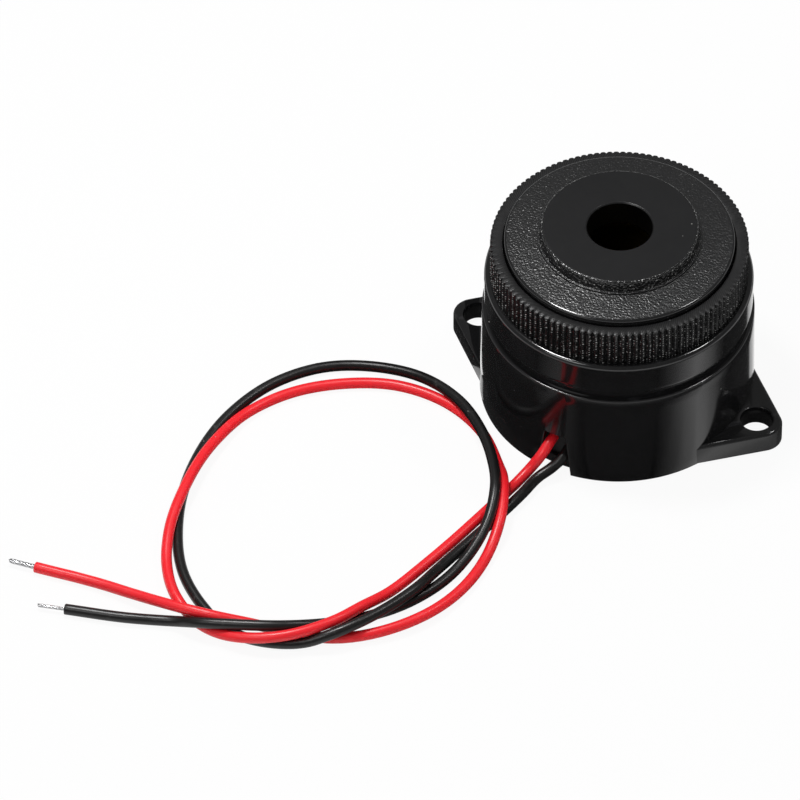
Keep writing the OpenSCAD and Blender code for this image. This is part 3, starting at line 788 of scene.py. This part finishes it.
def cap_zone(middle):
    """0 polished, 1 grained ground, 2 satin face, 3 grained side of the boss, 4 port's wall in
    painted shade.
    """
    r, z = math.hypot(middle.x, middle.y) / MM, middle.z / MM
    if r < 3.6:
        return 4
    if z > 22.4 and 8.75 < r < 12.24:
        return 1
    if z > 22.9 and r > 8.35:
        return 3
    return 2 if z > 24.15 or r < 8 else 0


paint(cap, [gloss_black, spark_black, satin_black, side_black, port_painted_shade], cap_zone)
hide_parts("front_cap")

# %% [markdown]
# ## The screw ring
#
# Each of the 120 straight teeth is eight columns of the mesh, which rise to a broad crest and
# leave a narrow groove beside the next. At the top and bottom the teeth are cut back by a small
# bevel, which is where the real ring shows its row of bright dots.

# %% Build the ring with its teeth
TEETH = 120
RING_FOOT, RING_H, RING_R, ROOT_R = 17.3 * MM, 4.4 * MM, 14 * MM, 13.75 * MM
CREST = [0.0, 0.5, 0.82, 1.0, 1.0, 0.82, 0.5, 0.0]
# The outer wall as (height, how far the bevel cuts in), then top and bore as (radius, height)
OUTER = [(0.0, 0.1), (0.04, 0.04), (0.1, 0.0), (2.2, 0.0), (4.3, 0.0), (4.36, 0.03), (4.4, 0.09)]
INNER = [(13.2, 4.4), (12.72, 4.4), (12.66, 4.38), (12.62, 4.34), (12.6, 4.28), (12.6, 0.1),
         (12.7, 0.0)]


def knurled_ring():
    """The outer wall follows the crest of each tooth, up to what the bevels leave."""
    columns = TEETH * len(CREST)
    vertices = []
    for c in range(columns):
        turn = 2 * math.pi * (c + 0.5) / columns
        tooth = ROOT_R + (RING_R - ROOT_R) * CREST[c % len(CREST)]
        column = [(min(tooth, RING_R - cut * MM), z) for z, cut in OUTER]
        for r, z in column + [(r * MM, z) for r, z in INNER]:
            vertices.append((r * math.cos(turn), r * math.sin(turn), RING_FOOT + z * MM))
    return vertices, grid_faces(columns, len(OUTER) + len(INNER))


ring = finish_shading(make_piece("screw_ring", *knurled_ring()))
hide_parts("ring_nut")

# %% [markdown]
# ## The ring's finish
#
# The top of the ring is duller and shows fine slanting lines, left by the tool that cut its mould
# insert: stripes whose angle shifts with the radius. The glitter on the crests of the teeth is
# painted: rows of tiny pale dots in the colour stand in for highlights, and a pale patch is painted
# at the top corner of each crest. The dots are a flat Voronoi texture on the unrolled ring, angle
# by height, two cells to a tooth. Little randomness keeps the rows, and a cell's own random colour
# makes its dot bright or dull.

# %% Find the places on the ring
ring_black, shader, place, skin = start_material(
    "ring_black", 0.27, 0.12, Specular_IOR_Level=0.4)
tree = ring_black.node_tree
STRIPES, STRIPE_SLANT, DOT_STEP = 300.0, 16000.0, 0.34 * MM
axis = add_node(tree, "SeparateXYZ", Vector=place).outputs
angle = calc("ARCTAN2", axis["Y"], axis["X"])
radius = calc("SQRT", calc("ADD", product(axis["X"], axis["X"]), product(axis["Y"], axis["Y"])))
stripes = calc("SINE", calc("ADD", product(angle, STRIPES), product(radius, STRIPE_SLANT)))
on_top = calc("GREATER_THAN", axis["Z"], RING_FOOT + RING_H - 0.02 * MM)
beside = calc("SUBTRACT", 1.0, on_top)
on_crest = product(beyond(radius, 13.80 * MM, 14000.0), beside)
at_corner = beyond(axis["Z"], RING_FOOT + 4.30 * MM, 20000.0)

# %% Make the ring's black plastic
rough = place_group(spark_grain, place, Grain=5000.0)
stack_bump(shader, product(stripes, noise_at(place, 900.0, 3.0), on_top), 0.000009)
stack_bump(shader, product(rough["Height"], beside), 0.00003)
unrolled = add_node(tree, "CombineXYZ", X=product(angle, TEETH / math.pi),
                    Y=product(axis["Z"], 1 / DOT_STEP)).outputs["Vector"]
dots = add_node(tree, "TexVoronoi", {"voronoi_dimensions": "2D"}, Vector=unrolled, Scale=1.0,
                Randomness=0.3).outputs
lot = add_node(tree, "SeparateColor", Color=dots["Color"]).outputs["Red"]
dot = product(beyond(dots["Distance"], 0.25, -9.0), calc("POWER", lot, 1.5))
stripe_tone = product(calc("MULTIPLY_ADD", stripes, 0.5, 0.5), on_top)
body = mix_colours(stripe_tone, (0.004, 0.004, 0.0043), (0.019, 0.019, 0.0195))
# Painted highlight: pale patches at the top corner of each crest.
body = mix_colours(product(at_corner, on_crest, 0.3), body, (0.20, 0.20, 0.20))
# Painted glints: pale dots in rows on the crests, standing in for highlights.
body = mix_colours(product(dot, on_crest), body, (0.55, 0.55, 0.54))
feed(shader, Base_Color=dust_and_glint_specked(place, body, (0.2, 0.2, 0.2), Share=0.10),
     Roughness=calc("MULTIPLY_ADD", on_top, 0.10, skin["Roughness"]))
paint(ring, [ring_black])

# %% [markdown]
# ## The base cover
#
# A flat disc closes the foot, and its edge shows behind the leads in the notch. Makers leave this
# face with an even, matt grain, so that the marks of the mould don't show.

# %% Make the base cover
cover_black = moulded_black("cover_black", 0.02, 0.5, 0.12, grain=0.000012, grain_size=3000.0,
                            dust=0.1)
cover_section = round_corners([(0.02, 0, 0), (14, 0, 0.12), (14, 1.2, 0.08), (0.02, 1.2, 0)])
cover = finish_shading(make_piece("base_disc", *turned(cover_section, 192)))
paint(cover, [cover_black])
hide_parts("base_cover")

# %% [markdown]
# ## PVC insulation
#
# Soft PVC is extruded over the strands. It has a satin skin with faint marks that run along the
# lead, a little light goes into the red one, and both get dull scuffs where they were handled.
# The attribute "straight" gives each point's place on the straightened lead. Shrinking its first
# number, the one along the lead, stretches a noise texture into streaks.


# %% Make the PVC of the leads
def lead_pvc(name, colour, dark, scuff, roughness, softness):
    sizes = {"Gloss_Size": 1600.0, "Ripple_Size": 500.0}
    material, shader, straight, skin = start_material(
        name, roughness, 0.22, sizes, True, Subsurface_Weight=softness, Subsurface_Scale=0.6 * MM)
    streaks = noise_at(stretched(straight, (0.06, 1, 1)), 4500.0, 3.0)
    stack_bump(shader, streaks, 0.000006)
    stack_bump(shader, skin["Height"], 0.00001)
    rubbed = beyond(noise_at(straight, 650.0, 5.0, 0.7), 0.60, 7.0)
    tone = mix_colours(product(rubbed, 0.45), mix_colours(streaks, dark, colour), scuff)
    feed(shader, Roughness=calc("ADD", skin["Roughness"], product(rubbed, 0.18)),
         Base_Color=dust_and_glint_specked(straight, tone, (0.3, 0.28, 0.27), Cells=1300.0, Share=0.05))
    return material


red_pvc = lead_pvc("red_pvc", (0.96, 0.018, 0.030), (0.84, 0.011, 0.019), (0.90, 0.06, 0.07),
                   0.34, 0.12)
black_pvc = lead_pvc("black_pvc", (0.010, 0.0095, 0.0095), (0.006, 0.0055, 0.0055),
                     (0.075, 0.072, 0.07), 0.33, 0.0)
paint(red_insulation, [red_pvc])
paint(black_insulation, [black_pvc])

# %% [markdown]
# ## Metals
#
# Tinned strands, solder, brass and copper wire are one recipe with the bodies of the electronic
# parts: a colour that clouds a little, a roughness with its own clouds, and brushed or drawn
# marks where the metal has them.


# %% A recipe for metals, and for fired, moulded and cast bodies
def plain_finish(name, colour, dark, roughness, size=2000.0, depth=0.000006, spread=0.15,
                 stretch=(1, 1, 1), crisp=0.5, along_lead=False, **sockets):
    material, shader, place, skin = start_material(
        name, roughness, spread, {"Gloss_Size": size}, along_lead, **sockets)
    marks = noise_at(stretched(place, stretch), size, 4.0, crisp)
    stack_bump(shader, marks, depth)
    feed(shader, Base_Color=mix_colours(marks, dark, colour))
    return material


METAL = {"Metallic": 1.0, "crisp": 0.6}
tinned = plain_finish("tinned_copper", (0.80, 0.80, 0.81), (0.55, 0.55, 0.56), 0.26, 5000.0,
                      0.000012, 0.2, (0.15, 1, 1), along_lead=True, **METAL)
copper = plain_finish("copper_winding", (0.66, 0.27, 0.12), (0.48, 0.17, 0.07), 0.30, 2200.0,
                      0.000004, **METAL)
for strands in (red_strands, black_strands):
    paint(strands, [tinned])

# %% [markdown]
# ## The sounder and the circuit
#
# Hardly any of this shows through the port, but a buyer may open the model up. These solids are
# right as they come from the CAD, so they only get their finishes. Chips and moulded bodies need
# metal ends: a mask finds them by their distance from the chip's middle.


# %% Metal ends for chips
def metal_ends(material, axis_name, middle, half_body):
    """Turns a body's ends to tin, where they are further from its middle than half_body."""
    tree = material.node_tree
    shader = tree.nodes["Principled BSDF"]
    place = add_node(tree, "TexCoord").outputs["Object"]
    along = add_node(tree, "SeparateXYZ", Vector=place).outputs[axis_name]
    away = calc("ABSOLUTE", calc("SUBTRACT", along, middle))
    ends = calc("GREATER_THAN", away, half_body)
    body = shader.inputs["Base Color"].links[0].from_socket
    feed(shader, Base_Color=mix_colours(ends, body, (0.72, 0.73, 0.74)), Metallic=ends)
    return material


# %% The finishes of the CAD nodes that stay as they are
EPOXY = ((0.022, 0.022, 0.023), (0.015, 0.015, 0.016), 0.45)
chip_grey = plain_finish("chip_grey", (0.05, 0.05, 0.06), (0.03, 0.03, 0.035), 0.3)
chip_tan = plain_finish("chip_tan", (0.42, 0.30, 0.17), (0.32, 0.22, 0.12), 0.45)
finishes = {
    "piezo_plate": plain_finish("brass_plate", (0.76, 0.58, 0.26), (0.60, 0.44, 0.18), 0.34,
                                1800.0, 0.000004, 0.2, (1, 0.04, 1), **METAL),
    "piezo_ceramic": plain_finish("piezo_ceramic", (0.80, 0.79, 0.75), (0.70, 0.68, 0.63), 0.42,
                                3000.0, 0.000004),
    "silicone_ring": plain_finish("silicone", (0.78, 0.77, 0.73), (0.70, 0.69, 0.65), 0.38, 900.0,
                                0.00003, Subsurface_Weight=0.3, Subsurface_Scale=1 * MM),
    "choke_core": plain_finish("ferrite", (0.06, 0.06, 0.065), (0.035, 0.035, 0.04), 0.6, 3500.0,
                             0.00002),
    "transistor": metal_ends(plain_finish("transistor_body", *EPOXY), "Y", 5 * MM, 0.66 * MM),
    "diode": metal_ends(plain_finish("diode_body", *EPOXY), "X", 6 * MM, 1.36 * MM),
    "resistors": metal_ends(chip_grey, "Y", -1 * MM, 0.6 * MM),
    "capacitor": metal_ends(chip_tan, "X", -6.5 * MM, 1.2 * MM),
    "solder_joints": plain_finish("solder", (0.74, 0.75, 0.76), (0.55, 0.56, 0.57), 0.24, 1500.0,
                                  0.00001, 0.2, **METAL),
    "plate_wire": plain_finish("thin_red_wire", (0.45, 0.02, 0.02), (0.34, 0.012, 0.012), 0.35),
    "ceramic_wire": plain_finish("thin_black_wire", (0.02, 0.02, 0.02), (0.012, 0.012, 0.012), 0.35),
    "lead_glue": plain_finish("hot_glue", (0.010, 0.010, 0.010), (0.007, 0.007, 0.007), 0.30, 700.0,
                            0.00005),
}

# %% [markdown]
# The circuit board is green solder mask over copper and glass cloth. Two wave textures make the
# crossed weave of the cloth, and copper areas under the mask look lighter and stand proud.

# %% Make the board's finish
board_green, shader, place, skin = start_material("board_green", 0.3, 0.1, Coat_Weight=0.3)
tree = board_green.node_tree
warp, weft = [
    add_node(tree, "TexWave", {"wave_type": "BANDS", "bands_direction": way}, Vector=place,
             Scale=700.0, Distortion=0.4).outputs["Fac"]
    for way in "XY"
]
weave = product(calc("ADD", warp, weft), 0.5)
islands = add_node(tree, "TexVoronoi", {"distance": "CHEBYCHEV"}, Vector=place, Scale=260.0)
copper_area = beyond(islands.outputs["Distance"], 0.46, -30.0)
stack_bump(shader, weave, 0.000006)
stack_bump(shader, copper_area, 0.00003)
mask_green = mix_colours(weave, (0.008, 0.075, 0.026), (0.014, 0.11, 0.040))
feed(shader, Base_Color=mix_colours(copper_area, mask_green, (0.03, 0.19, 0.06)))
finishes["circuit_board"] = board_green

for name, finish in finishes.items():
    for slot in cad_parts[name].material_slots:
        slot.material = finish
print("finished", len(finishes), "CAD nodes")

# %% [markdown]
# The choke's winding is the one hidden piece worth its own mesh. A plain tube never looks like
# wire, so its section gets one round bulge for each turn of wire.

# %% Wind the choke
WINDING_MIDDLE, WINDING_BORE, WIRE_RING = (4.5 * MM, 4 * MM), 1.62 * MM, 2.94 * MM
WINDING_LOW, WINDING_HIGH, WIRE = 8.7 * MM, 11.9 * MM, 0.32 * MM
turns = int((WINDING_HIGH - WINDING_LOW) / WIRE)
winding_section = [(WINDING_BORE, WINDING_HIGH), (WINDING_BORE, WINDING_LOW)]
for turn in range(turns):
    for k in range(6):
        t = math.pi * (k / 6 - 0.5)
        z = WINDING_LOW + WIRE * (turn + 0.5) + WIRE / 2 * math.sin(t)
        winding_section.append((WIRE_RING + WIRE / 2 * math.cos(t), z))
winding = make_piece("choke_wire", *turned(winding_section, 72, WINDING_MIDDLE), sharp_angle=70)
paint(winding, [copper])
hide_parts("choke_winding")

# %% [markdown]
# ## The table
#
# The part was photographed on a white table and then cut out. The table here is pale and really
# lit, so it takes a soft shadow. For the camera it is mixed with plain white, which leaves only a
# trace of that shadow. Glossy black walls lean over the table and mirror it, and on the real part
# they look black, because the table is in the part's own shade there. So glossy rays see a table
# that is dark near the case and white further out.

# %% Lay the table
TABLE_HALF, CAMERA_WHITE = 2, 0.93
SHADE_RADIUS, OPEN_RADIUS, SHADE_GLOW, OPEN_GLOW = 0.033, 0.060, 0.035, 0.9


def bare_tree(owner):
    """The emptied network of a material or a world."""
    owner.use_nodes = True
    owner.node_tree.nodes.clear()
    return owner.node_tree


def white_shader(tree, kind, strength):
    return add_node(tree, kind, Color=(1, 1, 1, 1), Strength=strength)


def mix_shaders(share, first, second):
    """Two shaders as one. A share of 1 shows the second alone."""
    made = add_node(share.id_data, "MixShader")
    for socket, value in zip(made.inputs, (share, first.outputs[0], second.outputs[0])):
        fill(socket, value)
    return made


corners = [(x * TABLE_HALF, y * TABLE_HALF, 0) for x, y in ((-1, -1), (1, -1), (1, 1), (-1, 1))]
floor_mesh = bpy.data.meshes.new("table")
floor_mesh.from_pydata(corners, [], [(0, 1, 2, 3)])
floor = make_object("table", floor_mesh)
floor.location.z = -0.04 * MM

table_white = bpy.data.materials.new("table_white")
tree = bare_tree(table_white)
ray = add_node(tree, "LightPath").outputs
place = add_node(tree, "TexCoord").outputs["Object"]
from_middle = add_node(tree, "VectorMath", {"operation": "LENGTH"}, Vector=place)
shade = add_node(tree, "MapRange", {"interpolation_type": "SMOOTHERSTEP"},
                 Value=from_middle.outputs["Value"], From_Min=SHADE_RADIUS,
                 From_Max=OPEN_RADIUS, To_Min=SHADE_GLOW, To_Max=OPEN_GLOW)
# Painted shadow for glossy rays: the table glows dim near the case and bright further out.
mirrored = white_shader(tree, "Emission", shade.outputs["Result"])
paper = add_node(tree, "BsdfDiffuse", Color=(0.82, 0.82, 0.82, 1))
seen = mix_shaders(product(ray["Is Camera Ray"], CAMERA_WHITE), paper,
                   white_shader(tree, "Emission", 1.0))
by_mirror = calc("MAXIMUM", ray["Is Glossy Ray"], ray["Is Transmission Ray"])
add_node(tree, "OutputMaterial", Surface=mix_shaders(by_mirror, seen, mirrored).outputs[0])
floor_mesh.materials.append(table_white)

# %% [markdown]
# ## White and black cards
#
# A photographer of black glossy things lays white cards beside them, to draw their shape with
# bright lines. The real part shows a soft upright band right of the middle, a fainter one on the
# left, and white edges where its wall turns away. A card lies flat on the table and only glossy
# rays see it. The mesh keeps the brightness of its points as an attribute, so a card can fade out
# at its sides. One narrow card lies just over the left ear, for the white line behind it. A black
# card lies over the nearest loop of the leads and keeps the wall there black.

# %% Lay the cards
card_white = bpy.data.materials.new("card_white")
tree = bare_tree(card_white)
drawn = add_node(tree, "Attribute", {"attribute_name": "glow"}).outputs["Fac"]
from_above = calc("SUBTRACT", 1.0, add_node(tree, "NewGeometry").outputs["Backfacing"])
glow = white_shader(tree, "Emission", product(drawn, from_above))
add_node(tree, "OutputMaterial", Surface=glow.outputs[0])


def card(name, rows, strengths, level, lift=0.0):
    """Rows of points in mm, towards the camera and to its right, with a strength per column."""
    near = direction(VIEW_AZIMUTH, 0)
    points = [(a * near + b * picture_right) * MM for row in rows for a, b in row]
    wide = len(rows[0])
    faces = [
        (r * wide + k, r * wide + k + 1, (r + 1) * wide + k + 1, (r + 1) * wide + k)
        for r in range(len(rows) - 1) for k in range(wide - 1)
    ]
    mesh = bpy.data.meshes.new(name)
    mesh.from_pydata([tuple(p) for p in points], [], faces)
    if mesh.polygons[0].normal.z < 0:
        mesh.flip_normals()
    glows = mesh.attributes.new("glow", "FLOAT", "POINT")
    glows.data.foreach_set("value", [level * s for row in rows for s in strengths])
    mesh.materials.append(card_white)
    sheet = make_object(name, mesh)
    sheet.location.z = (lift - 0.02) * MM
    for kind in ("camera", "diffuse", "shadow", "transmission", "volume_scatter"):
        setattr(sheet, "visible_" + kind, False)


card("right_card", [
    [(14.6, 3.3), (13.9, 5.6), (13.1, 7.3), (12.3, 8.7), (11.3, 9.9), (10.2, 11), (9.2, 11.9)],
    [(24, 10), (22, 14), (19.5, 17), (16.4, 19.8), (13, 21.8), (9.2, 22.8), (6, 23.3)],
    [(31, 14.6), (27, 20), (23, 25), (18.6, 28), (13.5, 30), (8.4, 31), (4, 31.6)],
], [0, 0.22, 0.62, 1, 0.62, 0.15, 0], 0.85)
card("left_card", [
    [(14.6, -3), (13.4, -6.8), (11.4, -9.8)],
    [(24.6, -9.6), (20.4, -16.2), (14, -20.4)],
    [(30, -13), (24.8, -22), (16, -27)],
], [0, 1, 0], 0.22)
card("right_edge_card", [
    [(4.3, 14.3), (2.4, 14.6), (0, 15)],
    [(-5.6, 20.7), (-8, 18.8), (-11.7, 15)],
    [(-10.6, 24), (-13, 21), (-17, 15)],
], [0.8, 1.1, 1.3], 0.85)
card("left_edge_card", [
    [(2.9, -14.75), (1.5, -14.9), (0, -15)],
    [(-1.2, -16.4), (-2.5, -16), (-4, -15)],
], [0.5, 0.7, 0.9], 1)
card("left_rim_card", [
    [(1.5, -15.25), (1.5, -15.15), (1.5, -15)],
    [(-13, -17), (-13, -16), (-13, -15)],
], [1, 1, 1], 1.3, lift=2.6)
card("black_card", [
    [(12.4, -8.9), (8, -13.3), (3, -15.2), (-4.5, -15.2)],
    [(16, -13.6), (12.5, -20), (6, -24), (-6, -36)],
], [1, 1, 1, 1], 0.02, lift=1.9)

# %% [markdown]
# ## Lamps
#
# Flat faces that look up mirror the sky opposite the camera. They are dark on the real part, so no
# lamp stands there. Its round edges carry crisp bright lines left and right of the middle, and the
# grain shines at the front left. Both ask for small lamps high at the sides: a tilted face halfway
# between camera and lamp mirrors the lamp. A broad weak softbox in front fills the shadows of the
# leads. Glossy rays see the room darker, as a studio is dark behind its lamps.

# %% Light the studio
ROOM_LIGHT, DARKER_IN_MIRRORS = 0.36, -0.19
LAMP_AIM = Vector((0, 0, 12 * MM))
world = bpy.data.worlds.new("studio")
bpy.context.scene.world = world
tree = bare_tree(world)
ray = add_node(tree, "LightPath").outputs
room_light = calc("MULTIPLY_ADD", ray["Is Glossy Ray"], DARKER_IN_MIRRORS, ROOM_LIGHT)
room = mix_shaders(ray["Is Camera Ray"], white_shader(tree, "Background", room_light),
                   white_shader(tree, "Background", 1.0))
add_node(tree, "OutputWorld", Surface=room.outputs[0])


def softbox(name, azimuth, elevation, distance, width, height, radiance):
    """A rectangular lamp that looks at the part. Its power follows from its radiance and area."""
    data = bpy.data.lights.new(name, "AREA")
    data.shape, data.size, data.size_y = "RECTANGLE", width, height
    data.energy = radiance * math.pi * width * height
    way = direction(azimuth, elevation)
    lamp = make_object(name, data)
    lamp.location = LAMP_AIM + distance * way
    lamp.rotation_euler = way.to_track_quat("Z", "Y").to_euler()


softbox("left_softbox", -90, 71, 0.26, 0.045, 0.045, 66.0)
softbox("front_softbox", -20, 48, 0.30, 0.12, 0.08, 3.8)
softbox("right_softbox", 141, 64, 0.36, 0.045, 0.045, 27.0)
bpy.context.scene.view_settings.view_transform = "Standard"
